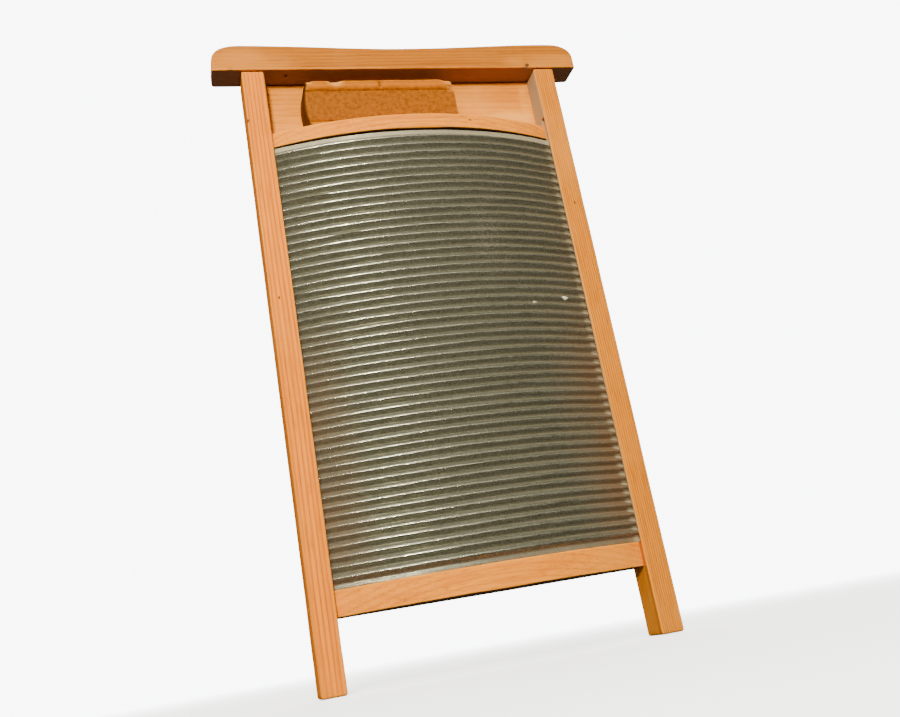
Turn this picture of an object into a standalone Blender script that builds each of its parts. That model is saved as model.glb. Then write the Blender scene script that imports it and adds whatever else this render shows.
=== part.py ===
"""Wooden washboard with a bowed, corrugated zinc sheet.

Units are metres, +Z is up, the rubbing side faces -Y. The origin is on the floor under the middle
of the whole object. "Depth" below is counted backwards from the front faces of the legs.
"""

import math

import bmesh
import bpy
from mathutils import Vector

# Driving dimensions
TOTAL_HEIGHT = 0.6014
FRAME_WIDTH = 0.320
LEG_WIDTH = 0.0213
LEG_DEPTH = 0.030
ARRIS = 0.0012
GAP = 0.0003

RAIL_LENGTH = 0.371
RAIL_HEIGHT = 0.027
RAIL_DIP = 0.004
RAIL_LIP = 0.0012
RAIL_BACK_DEPTH = 0.0272
RAIL_END_UPRIGHT = 0.004
RAIL_END_ROUND = 0.030
RAIL_END_POWER = 2.75

TENON_WIDTH = 0.010
TENON_DEPTH = 0.010
TENON_HEIGHT = 0.014

TRAY_HEIGHT = 0.0657
LEDGE_HEIGHT = 0.0154
LEDGE_BOW = 0.0297
LEDGE_END_DEPTH = 0.0058
LOWER_CROSSPIECE_BOTTOM = 0.060
LOWER_CROSSPIECE_HEIGHT = 0.022

BOARD_THICKNESS = 0.0054
BOARD_COUNT = 3
BOARD_SPACING = 0.0006
REBATE_WIDTH = 0.008

SHEET_THICKNESS = 0.0005
SHEET_BOW = 0.0275
SHEET_END_DEPTH = 0.0048
SHEET_GRIP = 0.0028
SHEET_TOP_SLOT = 0.0013
CORRUGATION_COUNT = 48
CORRUGATION_PITCH = 0.008375
CORRUGATION_RISE = 0.0038
GROOVE_DEPTH = 0.0042
GROOVE_FRONT = 0.0020
GROOVE_WIDTH = 0.0072
GROOVE_ABOVE_LEDGE = 0.009

NAIL_SHANK_RADIUS = 0.0008
NAIL_HEAD_RADIUS = 0.0018
NAIL_HEAD_HEIGHT = 0.0008
NAIL_SUNK = 0.0003
FRAME_NAIL_LENGTH = 0.040
TACK_LENGTH = 0.016

SOAP_LENGTH = 0.1466
SOAP_HEIGHT = 0.0536
SOAP_THICKNESS = 0.024
SOAP_LEFT_BULGE = 0.006
SOAP_RIGHT_BULGE = 0.0015
SOAP_ROUND = 0.003
SOAP_CENTRE_X = -0.0264

ARC_STEPS = 12
ROUND_STEPS = 8

# Places worked out from the driving dimensions
INNER_X = FRAME_WIDTH / 2 - LEG_WIDTH
LEG_X = FRAME_WIDTH / 2 - LEG_WIDTH / 2
FRONT_REACH = SHEET_BOW - SHEET_END_DEPTH + CORRUGATION_RISE / 2 + SHEET_THICKNESS / 2
FRONT_Y = (FRONT_REACH - LEG_DEPTH) / 2
BOARD_FACE_DEPTH = LEG_DEPTH - BOARD_THICKNESS - 2 * GAP
RAIL_BOTTOM = TOTAL_HEIGHT - RAIL_HEIGHT
LEDGE_TOP = RAIL_BOTTOM - TRAY_HEIGHT
LEDGE_BOTTOM = LEDGE_TOP - LEDGE_HEIGHT
LOWER_CROSSPIECE_TOP = LOWER_CROSSPIECE_BOTTOM + LOWER_CROSSPIECE_HEIGHT
BOARD_HALF_LENGTH = INNER_X + REBATE_WIDTH - GAP

WOOD = {"colour": (0.72, 0.42, 0.20), "roughness": 0.6, "metallic": 0.0}
ZINC = {"colour": (0.36, 0.36, 0.32), "roughness": 0.4, "metallic": 1.0}
STEEL = {"colour": (0.16, 0.13, 0.11), "roughness": 0.6, "metallic": 1.0}
SOAP = {"colour": (0.72, 0.34, 0.07), "roughness": 0.45, "metallic": 0.0}


def depth_to_y(depth):
    """Return the world Y of a depth behind the front faces of the legs."""
    return FRONT_Y + depth


def clear_scene():
    """Remove every object of the opened scene."""
    for obj in list(bpy.data.objects):
        bpy.data.objects.remove(obj, do_unlink=True)


def new_collection(name):
    """Return a new collection linked to the scene."""
    collection = bpy.data.collections.new(name)
    bpy.context.scene.collection.children.link(collection)
    return collection


def finish_material(obj, look):
    """Give the object a Principled material of its own."""
    material = bpy.data.materials.new(obj.name)
    material.use_nodes = True
    shader = material.node_tree.nodes["Principled BSDF"]
    shader.inputs["Base Color"].default_value = (*look["colour"], 1.0)
    shader.inputs["Roughness"].default_value = look["roughness"]
    shader.inputs["Metallic"].default_value = look["metallic"]
    obj.data.materials.append(material)


def add_object(name, mesh, collection, look=None):
    """Link a mesh as an object; one with no look is a cutter, shown as wire."""
    obj = bpy.data.objects.new(name, mesh)
    collection.objects.link(obj)
    if look is None:
        obj.hide_render = True
        obj.display_type = "WIRE"
    else:
        finish_material(obj, look)
    return obj


def block(name, low, high, collection, look=None):
    """Make a box between two opposite corners."""
    low, high = Vector(low), Vector(high)
    mesh = bpy.data.meshes.new(name)
    cube = bmesh.new()
    bmesh.ops.create_cube(cube, size=1.0)
    bmesh.ops.scale(cube, vec=high - low, verts=cube.verts)
    cube.to_mesh(mesh)
    cube.free()
    obj = add_object(name, mesh, collection, look)
    obj.location = (low + high) / 2
    return obj


def ease_edges(obj, width, segments=1):
    """Round the sharp edges of an object with a Bevel modifier."""
    bevel = obj.modifiers.new("eased arrises", "BEVEL")
    bevel.width = width
    bevel.segments = segments
    bevel.limit_method = "ANGLE"
    bevel.angle_limit = math.radians(40)


def cut(obj, cutter, operation="DIFFERENCE"):
    """Cut a cutter from an object, or join it with operation UNION."""
    boolean = obj.modifiers.new(cutter.name, "BOOLEAN")
    boolean.operation = operation
    boolean.solver = "EXACT"
    boolean.object = cutter


def extruded_outline(name, points, thickness, collection, look):
    """Make a mesh solid from a flat closed outline, centred on its plane."""
    curve = bpy.data.curves.new(name + " outline", "CURVE")
    curve.dimensions = "2D"
    curve.fill_mode = "BOTH"
    curve.extrude = thickness / 2
    spline = curve.splines.new("POLY")
    spline.points.add(len(points) - 1)
    for point, (u, v) in zip(spline.points, points):
        point.co = (u, v, 0.0, 1.0)
    spline.use_cyclic_u = True
    guide = bpy.data.objects.new(name + " outline", curve)
    collection.objects.link(guide)
    evaluated = guide.evaluated_get(bpy.context.evaluated_depsgraph_get())
    mesh = bpy.data.meshes.new_from_object(evaluated)
    bpy.data.objects.remove(guide, do_unlink=True)
    welded = bmesh.new()
    welded.from_mesh(mesh)
    bmesh.ops.remove_doubles(welded, verts=welded.verts, dist=0.00001)
    bmesh.ops.recalc_face_normals(welded, faces=welded.faces)
    welded.to_mesh(mesh)
    welded.free()
    return add_object(name, mesh, collection, look)


def turned_pin(name, length, clearance, collection, look=None):
    """Turn a nail that hangs from its head at the local origin along local -Z."""
    head = NAIL_HEAD_RADIUS + clearance
    shank = NAIL_SHANK_RADIUS + clearance
    top = clearance + (NAIL_SUNK if look is None else 0.0)
    under_head = -NAIL_HEAD_HEIGHT - clearance
    profile = (
        (0.0, top),
        (head, top),
        (head, under_head),
        (shank, under_head),
        (shank, -length + 2 * shank),
        (0.0, -length - clearance),
    )
    mesh = bpy.data.meshes.new(name)
    mesh.from_pydata([(x, 0.0, z) for x, z in profile], [(i, i + 1) for i in range(5)], [])
    pin = add_object(name, mesh, collection, look)
    screw = pin.modifiers.new("turned", "SCREW")
    screw.steps = ROUND_STEPS
    screw.render_steps = ROUND_STEPS
    screw.use_merge_vertices = True
    screw.merge_threshold = 0.00001
    return pin


def drive_nail(name, surface_point, direction, length, pieces, parts, cutters):
    """Place a sunk nail and cut its clearance hole in the pieces that it passes."""
    direction = Vector(direction)
    turn = Vector((0.0, 0.0, -1.0)).rotation_difference(direction).to_euler()
    place = Vector(surface_point) + direction * NAIL_SUNK
    nail = turned_pin(name, length, 0.0, parts, STEEL)
    hole = turned_pin(name + " hole", length, GAP, cutters)
    for obj in (nail, hole):
        obj.location = place
        obj.rotation_euler = turn
    for piece in pieces:
        cut(piece, hole)


def rail_outline():
    """Return the front outline of the rail, from its lower left corner round to the right.

    The top is a low cosine wave with a hump over each leg and a dip between them. Each end
    is a quarter of a superellipse that stands on a short upright.
    """
    half = RAIL_LENGTH / 2
    hump_x = half - RAIL_END_ROUND
    rise = RAIL_HEIGHT - RAIL_END_UPRIGHT
    right_end = []
    for i in range(ARC_STEPS):
        angle = math.pi / 2 * i / ARC_STEPS
        across = math.cos(angle) ** (2 / RAIL_END_POWER)
        up = math.sin(angle) ** (2 / RAIL_END_POWER)
        right_end.append((hump_x + RAIL_END_ROUND * across, RAIL_END_UPRIGHT + rise * up))
    top = []
    for i in range(2 * ARC_STEPS + 1):
        x = hump_x * (1 - i / ARC_STEPS)
        dip = RAIL_DIP * (1 + math.cos(math.pi * x / hump_x)) / 2
        top.append((x, RAIL_HEIGHT - dip))
    left_end = [(-x, z) for x, z in reversed(right_end)]
    return [(-half, 0.0), (half, 0.0)] + right_end + top + left_end


def bowed_outline(bow, end_depth, back_depth):
    """Return the plan of a crosspiece: straight back and ends, a circular front."""
    half = INNER_X - GAP
    radius = (half * half + bow * bow) / (2 * bow)
    centre = end_depth - bow + radius
    reach = math.asin(half / radius)
    front = []
    for i in range(2 * ARC_STEPS + 1):
        angle = reach * (i / ARC_STEPS - 1)
        front.append((radius * math.sin(angle), depth_to_y(centre - radius * math.cos(angle))))
    back_y = depth_to_y(back_depth)
    return front + [(half, back_y), (-half, back_y)]


def make_rail(parts, cutters):
    """Make the handle rail, with a blind mortise over each leg."""
    depth = RAIL_LIP + RAIL_BACK_DEPTH
    rail = extruded_outline("top_rail", rail_outline(), depth, parts, WOOD)
    rail.rotation_euler.x = math.pi / 2
    rail.location = (0.0, depth_to_y(depth / 2 - RAIL_LIP), RAIL_BOTTOM)
    ease_edges(rail, ARRIS)
    for side, sign in (("left", -1), ("right", 1)):
        low, high = tenon_box(sign, GAP)
        low.z = RAIL_BOTTOM - 0.001
        cut(rail, block(side + " mortise", low, high, cutters))
    return rail


def tenon_box(sign, clearance):
    """Return the corners of a leg's tenon, grown by a clearance."""
    centre_depth = LEG_DEPTH * 0.4
    half = Vector((TENON_WIDTH / 2 + clearance, TENON_DEPTH / 2 + clearance, 0.0))
    foot = Vector((sign * LEG_X, depth_to_y(centre_depth), RAIL_BOTTOM - 0.004))
    head = Vector((foot.x, foot.y, RAIL_BOTTOM + TENON_HEIGHT + clearance))
    return foot - half, head + half


def make_leg(side, sign, parts, cutters):
    """Make a leg: a straight post with a sheet groove, a rebate and a tenon."""
    low = (sign * LEG_X - LEG_WIDTH / 2, depth_to_y(0.0), 0.0)
    high = (sign * LEG_X + LEG_WIDTH / 2, depth_to_y(LEG_DEPTH), RAIL_BOTTOM - GAP)
    leg = block(side + "_leg", low, high, parts, WOOD)
    ease_edges(leg, ARRIS)
    over = 0.001
    groove_x = sorted((sign * (INNER_X - over), sign * (INNER_X + GROOVE_DEPTH)))
    groove = block(
        side + " groove",
        (groove_x[0], depth_to_y(GROOVE_FRONT), LOWER_CROSSPIECE_TOP),
        (groove_x[1], depth_to_y(GROOVE_FRONT + GROOVE_WIDTH), LEDGE_TOP + GROOVE_ABOVE_LEDGE),
        cutters,
    )
    rebate_x = sorted((sign * (INNER_X - over), sign * (INNER_X + REBATE_WIDTH)))
    rebate = block(
        side + " rebate",
        (rebate_x[0], depth_to_y(BOARD_FACE_DEPTH), LOWER_CROSSPIECE_BOTTOM),
        (rebate_x[1], depth_to_y(LEG_DEPTH + over), RAIL_BOTTOM + over),
        cutters,
    )
    cut(leg, groove)
    cut(leg, rebate)
    cut(leg, block(side + " tenon", *tenon_box(sign, 0.0), cutters), "UNION")
    return leg


def make_crosspiece(name, bottom, height, parts):
    """Make a crosspiece between the legs, bowed in front like the sheet."""
    outline = bowed_outline(LEDGE_BOW, LEDGE_END_DEPTH, BOARD_FACE_DEPTH)
    piece = extruded_outline(name, outline, height, parts, WOOD)
    piece.location.z = bottom + height / 2
    return piece


def make_board(name, bottom, top, parts):
    """Make a thin board that lies in the legs' rebates, across the back."""
    face = depth_to_y(BOARD_FACE_DEPTH + GAP)
    low = (-BOARD_HALF_LENGTH, face, bottom)
    high = (BOARD_HALF_LENGTH, face + BOARD_THICKNESS, top)
    return block(name, low, high, parts, WOOD)


def make_sheet(parts):
    """Turn the corrugated profile through the angle of the bow and give it its thickness.

    The profile is a zigzag about the bow's radius, a crest and a valley for each
    corrugation, with a flat band at the valleys' level along the top and the bottom edge.
    """
    radius = (INNER_X * INNER_X + SHEET_BOW * SHEET_BOW) / (2 * SHEET_BOW)
    reach = math.asin((INNER_X + SHEET_GRIP) / radius)
    top = LEDGE_BOTTOM - SHEET_TOP_SLOT
    bottom = LOWER_CROSSPIECE_TOP + GAP
    band = (top - bottom - CORRUGATION_COUNT * CORRUGATION_PITCH) / 2
    valley = radius - CORRUGATION_RISE / 2
    profile = [(valley, top)]
    for i in range(2 * CORRUGATION_COUNT + 1):
        rise = CORRUGATION_RISE if i % 2 else 0.0
        profile.append((valley + rise, top - band - i * CORRUGATION_PITCH / 2))
    profile.append((valley, bottom))
    mesh = bpy.data.meshes.new("zinc_sheet")
    edges = [(i, i + 1) for i in range(len(profile) - 1)]
    mesh.from_pydata([(r, 0.0, z) for r, z in profile], edges, [])
    sheet = add_object("zinc_sheet", mesh, parts, ZINC)
    sheet.location.y = depth_to_y(SHEET_END_DEPTH - SHEET_BOW + radius)
    sheet.rotation_euler.z = -math.pi / 2 - reach
    screw = sheet.modifiers.new("bow", "SCREW")
    screw.angle = 2 * reach
    screw.steps = ROUND_STEPS
    screw.render_steps = ROUND_STEPS
    wall = sheet.modifiers.new("thickness", "SOLIDIFY")
    wall.thickness = SHEET_THICKNESS
    wall.offset = 0.0
    return sheet


def make_soap(parts):
    """Make the bar of soap: a rounded block whose ends bulge at mid height."""
    half = SOAP_LENGTH / 2
    right, left = [], []
    for i in range(ROUND_STEPS + 1):
        z = SOAP_HEIGHT * i / ROUND_STEPS
        swell = math.sin(math.pi * i / ROUND_STEPS)
        right.append((half + SOAP_RIGHT_BULGE * swell, z))
        left.append((-half - SOAP_LEFT_BULGE * swell, z))
    left.reverse()
    soap = extruded_outline("soap_bar", right + left, SOAP_THICKNESS, parts, SOAP)
    soap.rotation_euler.x = math.pi / 2
    centre_depth = BOARD_FACE_DEPTH - SOAP_THICKNESS / 2
    soap.location = (SOAP_CENTRE_X, depth_to_y(centre_depth), LEDGE_TOP + GAP)
    ease_edges(soap, SOAP_ROUND, 2)
    return soap


def nail_crosspiece(name, height, piece, legs, parts, cutters):
    """Drive two nails through each leg into the end of a crosspiece."""
    for side, sign in (("left", -1), ("right", 1)):
        for row, share in (("front", 0.45), ("rear", 0.72)):
            point = (sign * FRAME_WIDTH / 2, depth_to_y(LEG_DEPTH * share), height)
            nail_name = f"{name}_nail_{side}_{row}"
            drive_nail(nail_name, point, (-sign, 0, 0), FRAME_NAIL_LENGTH, (legs[side], piece), parts,
                       cutters)


def tack_board(name, board, legs, x, heights, parts, cutters):
    """Drive a tack through a back board into both legs at each height."""
    surface = depth_to_y(BOARD_FACE_DEPTH + GAP + BOARD_THICKNESS)
    for side, sign in (("left", -1), ("right", 1)):
        for row, height in heights.items():
            point = (sign * x, surface, height)
            pieces = (board, legs[side])
            drive_nail(f"{name}_{side}_{row}", point, (0, -1, 0), TACK_LENGTH, pieces, parts, cutters)


def pin_tenons(rail, legs, parts, cutters):
    """Pin each tenon with a nail driven from the back of the rail."""
    height = RAIL_BOTTOM + TENON_HEIGHT / 2
    surface = depth_to_y(RAIL_BACK_DEPTH)
    for side, sign in (("left", -1), ("right", 1)):
        point = (sign * LEG_X, surface, height)
        drive_nail(f"tenon_pin_{side}", point, (0, -1, 0), TACK_LENGTH, (rail, legs[side]), parts,
                   cutters)


def main():
    """Build the washboard."""
    clear_scene()
    parts = new_collection("washboard")
    cutters = new_collection("cutters")
    legs = {"left": make_leg("left", -1, parts, cutters), "right": make_leg("right", 1, parts, cutters)}
    rail = make_rail(parts, cutters)
    ledge = make_crosspiece("soap_ledge", LEDGE_BOTTOM, LEDGE_HEIGHT, parts)
    lower = make_crosspiece("lower_crosspiece", LOWER_CROSSPIECE_BOTTOM, LOWER_CROSSPIECE_HEIGHT, parts)
    make_sheet(parts)
    make_soap(parts)

    tray_back = make_board("tray_back", LEDGE_BOTTOM, RAIL_BOTTOM - GAP, parts)
    board_x = INNER_X + REBATE_WIDTH / 2
    tray_tacks = {"lower": LEDGE_TOP, "upper": RAIL_BOTTOM - TRAY_HEIGHT / 4}
    tack_board("tray_tack", tray_back, legs, board_x, tray_tacks, parts, cutters)

    board_height = (LEDGE_BOTTOM - LOWER_CROSSPIECE_BOTTOM) / BOARD_COUNT
    for i in range(BOARD_COUNT):
        bottom = LOWER_CROSSPIECE_BOTTOM + i * board_height
        top = bottom + board_height - BOARD_SPACING
        board = make_board(f"back_board_{i + 1}", bottom, top, parts)
        heights = {"lower": bottom + board_height * 0.15, "upper": bottom + board_height * 0.85}
        tack_board(f"board_{i + 1}_tack", board, legs, board_x, heights, parts, cutters)

    pin_tenons(rail, legs, parts, cutters)
    nail_crosspiece("ledge", LEDGE_BOTTOM + LEDGE_HEIGHT / 2, ledge, legs, parts, cutters)
    nail_crosspiece("lower", LOWER_CROSSPIECE_BOTTOM + LOWER_CROSSPIECE_HEIGHT / 2, lower, legs, parts,
                    cutters)


main()
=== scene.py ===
"""Looks of an old wooden washboard with a bowed, corrugated zinc sheet and a bar of soap.

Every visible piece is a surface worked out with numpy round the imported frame, and every finish is a
node graph on Object coordinates or on attributes that the surface carries.
"""

import logging
import math
from dataclasses import dataclass, field
from enum import Enum
from typing import Any, Callable, Dict, List, Optional, Sequence, Tuple, Union

import bpy
import numpy as np
from mathutils import Matrix, Vector


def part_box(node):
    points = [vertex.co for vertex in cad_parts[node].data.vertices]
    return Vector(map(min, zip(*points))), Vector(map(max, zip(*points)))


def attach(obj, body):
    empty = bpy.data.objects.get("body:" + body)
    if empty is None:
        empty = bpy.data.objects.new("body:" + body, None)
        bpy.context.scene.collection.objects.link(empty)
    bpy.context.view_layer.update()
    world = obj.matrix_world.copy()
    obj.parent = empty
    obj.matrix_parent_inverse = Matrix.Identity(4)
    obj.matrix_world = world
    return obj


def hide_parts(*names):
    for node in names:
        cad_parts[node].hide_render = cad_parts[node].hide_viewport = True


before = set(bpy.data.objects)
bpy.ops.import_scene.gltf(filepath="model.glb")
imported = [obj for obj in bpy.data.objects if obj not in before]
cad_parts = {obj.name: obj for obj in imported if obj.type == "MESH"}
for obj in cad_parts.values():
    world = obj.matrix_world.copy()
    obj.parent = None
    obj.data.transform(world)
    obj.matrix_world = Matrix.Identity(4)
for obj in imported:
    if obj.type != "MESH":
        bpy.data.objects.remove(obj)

LOG = logging.getLogger("washboard")
BOARD_BODY = "board"
SOAP_BODY = "soap"
NAIL_WORDS = ("_nail_", "_tack_", "_pin_")
TENON = (0.010, 0.010, 0.014)
TENON_PLACE = 0.4
FLAT = 0.00001
# Near-black painted shade for the shadow gaps under the crosspieces and along the boards' top edges.
GAP_PAINTED_SHADE = (0.03, 0.020, 0.012)

Array = np.ndarray
Pair = Tuple[Array, Array]
Side = Callable[[Array], Pair]
Triple = Tuple[float, float, float]
Colour = Triple
Mark = Tuple[Triple, Triple]
Box = Tuple[Any, Any]
Value = Union[float, "Socket"]


class Axis(Enum):
    """The direction that a bar's length and grain run in, with its two cross directions."""

    X = (0, 1, 2)
    Z = (2, 0, 1)


# ---------------------------------------------------------------- surfaces


def carry(mesh: bpy.types.Mesh, values: Dict[str, Array]) -> None:
    """Store values on a mesh's vertices as float attributes.

    Args:
        mesh: the mesh.
        values: for each name, one value for each vertex.
    """
    for key, value in values.items():
        layer = mesh.attributes.new(key, "FLOAT", "POINT")
        layer.data.foreach_set("value", value.astype(np.float32))


@dataclass
class Shape:
    """Vertices, quads and triangles of one closed surface, with values on its vertices."""

    verts: Array
    quads: Array
    tris: Array
    values: Dict[str, Array] = field(default_factory=dict)

    def joined(self, other: "Shape") -> "Shape":
        """Return this shape and another as one, the other without values.

        Args:
            other: the shape to add.

        Returns:
            The two surfaces as one shape.
        """
        start = len(self.verts)
        verts = np.vstack([self.verts, other.verts])
        quads = np.vstack([self.quads, other.quads + start])
        tris = np.vstack([self.tris, other.tris + start])
        return Shape(verts, quads, tris)

    def mesh(self, name: str) -> bpy.types.Mesh:
        """Return the shape as a Blender mesh with its values as float attributes.

        Args:
            name: the mesh's name.

        Returns:
            The new mesh.
        """
        mesh = bpy.data.meshes.new(name)
        mesh.vertices.add(len(self.verts))
        mesh.vertices.foreach_set("co", self.verts.astype(np.float32).ravel())
        corners = np.concatenate([self.quads.ravel(), self.tris.ravel()]).astype(np.int32)
        sides = np.concatenate([np.full(len(self.quads), 4), np.full(len(self.tris), 3)])
        starts = np.concatenate([[0], np.cumsum(sides)[:-1]]).astype(np.int32)
        mesh.loops.add(len(corners))
        mesh.loops.foreach_set("vertex_index", corners)
        mesh.polygons.add(len(sides))
        mesh.polygons.foreach_set("loop_start", starts)
        carry(mesh, self.values)
        mesh.update(calc_edges=True)
        mesh.validate()
        return mesh


def tube_of_rings(rings: Array, values: Dict[str, Array]) -> Shape:
    """Close a stack of rings into a solid.

    Vertex (i, j) is point j of ring i. Quads join each ring to the next and wrap round in j. Each
    end is closed by triangles to the mean point of its last ring.

    Args:
        rings: points of shape (rings, points, 3), turning anticlockwise seen from the last ring.
        values: arrays of shape (rings, points) to carry on the vertices.

    Returns:
        The closed shape.
    """
    count, around = rings.shape[:2]
    index = np.arange(count * around).reshape(count, around)
    a, b = index[:-1], index[1:]
    quads = np.stack([a, np.roll(a, -1, 1), np.roll(b, -1, 1), b], -1).reshape(-1, 4)
    poles = np.stack([rings[0].mean(0), rings[-1].mean(0)])
    first, last = index[0], index[-1]
    low, high = count * around, count * around + 1
    start = np.stack([np.roll(first, -1), first, np.full(around, low)], -1)
    end = np.stack([last, np.roll(last, -1), np.full(around, high)], -1)
    verts = np.vstack([rings.reshape(-1, 3), poles])
    carried = {}
    for key, value in values.items():
        ends = [value[0].mean(), value[-1].mean()]
        carried[key] = np.concatenate([value.ravel(), ends])
    return Shape(verts, quads, np.vstack([start, end]), carried)


def smooth_noise(points: Array, wavelength: float, seed: int, waves: int = 9) -> Array:
    """Return a smooth noise of about -1 to 1 at each point.

    It is the mean of plane cosine waves, whose directions and phases are drawn from the seed,
    and whose wavelengths lie around the one given.

    Args:
        points: points of shape (count, 3).
        wavelength: the middle wavelength.
        seed: the seed of the draws.
        waves: how many waves there are.

    Returns:
        One value for each point.
    """
    draw = np.random.default_rng(seed)
    direction = draw.normal(size=(waves, 3))
    direction /= np.linalg.norm(direction, axis=1, keepdims=True)
    number = 2 * math.pi / (wavelength * draw.uniform(0.6, 1.6, size=(waves, 1)))
    phase = draw.uniform(0, 2 * math.pi, size=waves)
    return np.cos(points @ (direction * number).T + phase).mean(-1) * math.sqrt(waves) / 1.6


def wobble(points: Array, amount: float, wavelength: float, seed: int) -> Array:
    """Return the points moved by three smooth noises, one for each direction."""
    moves = [smooth_noise(points, wavelength, seed + k) for k in range(3)]
    return points + amount * np.stack(moves, -1)


def dent(points: Array, centre: Sequence[float], push: Sequence[float], size: float) -> Array:
    """Return the points pushed in a round dent: the push times exp(-(distance / size) squared)."""
    distance = np.linalg.norm(points - np.asarray(centre), axis=-1)
    return points + np.exp(-((distance / size) ** 2))[..., None] * np.asarray(push)


@dataclass
class Bar:
    """A bar with eased arrises: a rounded rectangle carried along an axis.

    At a station s the section reaches from low to high in each cross direction. A corner is a
    quarter circle of the arris radius, and each flat is divided at cosine steps, so that its
    points crowd towards the arrises. Near an end the section is inset by r (1 - sin t) at the
    distance r (1 - cos t) from the end, which rounds the end's arris.
    """

    axis: Axis
    start: float
    stop: float
    low: Side
    high: Side
    arris: float
    end_round: Tuple[float, float]
    step: float = 0.004
    flats: Tuple[int, int] = (8, 8)
    corner_steps: int = 4
    stations: Optional[Array] = None

    def _stations(self) -> Pair:
        """Return the places along the axis and the inset of the section at each.

        Returns:
            Positions and insets, one of each for every ring.
        """
        turn = np.linspace(0, math.pi / 2, self.corner_steps + 1)
        first, last = self.end_round
        near = self.start + first * (1 - np.cos(turn))
        far = self.stop - last * (1 - np.cos(turn))
        count = max(2, int(round((self.stop - self.start) / self.step)))
        inner = np.linspace(near[-1], far[-1], count + 1)[1:-1]
        if self.stations is not None:
            inner = self.stations[(self.stations > near[-1]) & (self.stations < far[-1])]
        along = np.concatenate([near, inner, far[::-1]])
        inset = np.concatenate([first * (1 - np.sin(turn)), 0 * inner, last * (1 - np.sin(turn[::-1]))])
        return along, inset

    def _ring(self, low: Array, high: Array, radius: Array) -> Pair:
        """Return section points of shape (stations, points, 2) and their arris value.

        Args:
            low: the lower side in each cross direction, at each station.
            high: the upper side in each.
            radius: the arris radius at each station.

        Returns:
            The points, and 1 for the points of an arris.
        """
        turn = np.linspace(0, math.pi / 2, self.corner_steps + 1)
        right, left = high[0] - radius, low[0] + radius
        upper, lower = high[1] - radius, low[1] + radius
        corners = []
        for quarter, centre in enumerate(((right, upper), (left, upper), (left, lower), (right, lower))):
            angle = turn + quarter * math.pi / 2
            reach = np.stack([np.cos(angle), np.sin(angle)], -1) * radius[:, None, None]
            corners.append(np.stack(centre, -1)[:, None] + reach)
        pieces, marks = [], []
        for quarter, corner in enumerate(corners):
            following = corners[(quarter + 1) % 4]
            share = (1 - np.cos(np.linspace(0, math.pi, self.flats[quarter % 2] + 2)))[1:-1] / 2
            start, end = corner[:, -1:], following[:, :1]
            flat = start + (end - start) * share[None, :, None]
            pieces += [corner, flat]
            marks += [np.ones(len(turn)), np.zeros(len(share))]
        return np.concatenate(pieces, 1), np.concatenate(marks)

    def shape(self) -> Shape:
        """Return the bar's closed surface, which carries 1 on its arrises as "arris".

        Returns:
            The closed surface.
        """
        along, inset = self._stations()
        low, high = self.low(along), self.high(along)
        low = [side + inset for side in low]
        high = [side - inset for side in high]
        room = np.minimum(high[0] - low[0], high[1] - low[1]) * 0.49
        radius = np.minimum(np.maximum(self.arris - inset, self.arris * 0.12), room)
        section, mark = self._ring(low, high, radius)
        rings = np.zeros(section.shape[:2] + (3,))
        main, first, second = self.axis.value
        rings[..., main] = along[:, None]
        rings[..., first] = section[..., 0]
        rings[..., second] = section[..., 1]
        arris = np.maximum(mark[None, :], (inset > 1e-7)[:, None])
        rings, arris = self._capped(rings, arris)
        return tube_of_rings(rings, {"arris": arris})

    @staticmethod
    def _capped(rings: Array, arris: Array) -> Pair:
        """Add two smaller rings inside each end, so that the end face has an even mesh.

        Args:
            rings: the bar's rings.
            arris: their arris values.

        Returns:
            The rings and values with the caps.
        """
        parts, marks = [], []
        for end, shares in ((0, (0.45, 0.8)), (-1, (0.8, 0.45))):
            centre = rings[end].mean(0)
            parts.append(np.stack([centre + (rings[end] - centre) * share for share in shares]))
            marks.append(np.zeros((2,) + arris[end].shape))
        rings = np.concatenate([parts[0], rings, parts[1]])
        return rings, np.concatenate([marks[0], arris, marks[1]])


def constant(first: float, second: float) -> Side:
    """Return a bar side that stays at the same two cross coordinates."""
    return lambda along: (np.full_like(along, first), np.full_like(along, second))


def box_shape(low: Sequence[float], high: Sequence[float]) -> Shape:
    """Return a plain sharp box, for cutting and joining.

    Args:
        low: the lowest corner.
        high: the highest corner.

    Returns:
        The box.
    """
    corners = [(x, y, z) for x in (low[0], high[0]) for y in (low[1], high[1]) for z in (low[2], high[2])]
    quads = [(0, 1, 3, 2), (4, 6, 7, 5), (0, 4, 5, 1), (2, 3, 7, 6), (0, 2, 6, 4), (1, 5, 7, 3)]
    return Shape(np.array(corners, float), np.array(quads), np.zeros((0, 3), int))


def turned(profile: Sequence[Tuple[float, float]], steps: int, place: Matrix) -> Shape:
    """Return a solid of revolution about its own Z, then put in its place.

    The profile runs from the lower pole to the upper one as (radius, height). The point at an
    angle t is (radius cos t, radius sin t, height).

    Args:
        profile: radii and heights, from the bottom up.
        steps: points round the axis.
        place: where the solid's own frame is put.

    Returns:
        The placed solid.
    """
    angle = np.linspace(0, 2 * math.pi, steps, endpoint=False)
    radius = np.array([r for r, _ in profile])[:, None]
    height = np.array([z for _, z in profile])[:, None] + 0 * angle
    rings = np.stack([radius * np.cos(angle), radius * np.sin(angle), height], -1)
    shape = tube_of_rings(rings, {})
    turn = np.array(place.to_3x3())
    shape.verts = shape.verts @ turn.T + np.array(place.translation)
    return shape


def add_object(name: str, data: Any) -> bpy.types.Object:
    """Add an object with the given data to the scene.

    Args:
        name: its name.
        data: its mesh, lamp or camera.

    Returns:
        The object.
    """
    obj = bpy.data.objects.new(name, data)
    bpy.context.scene.collection.objects.link(obj)
    return obj


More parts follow.
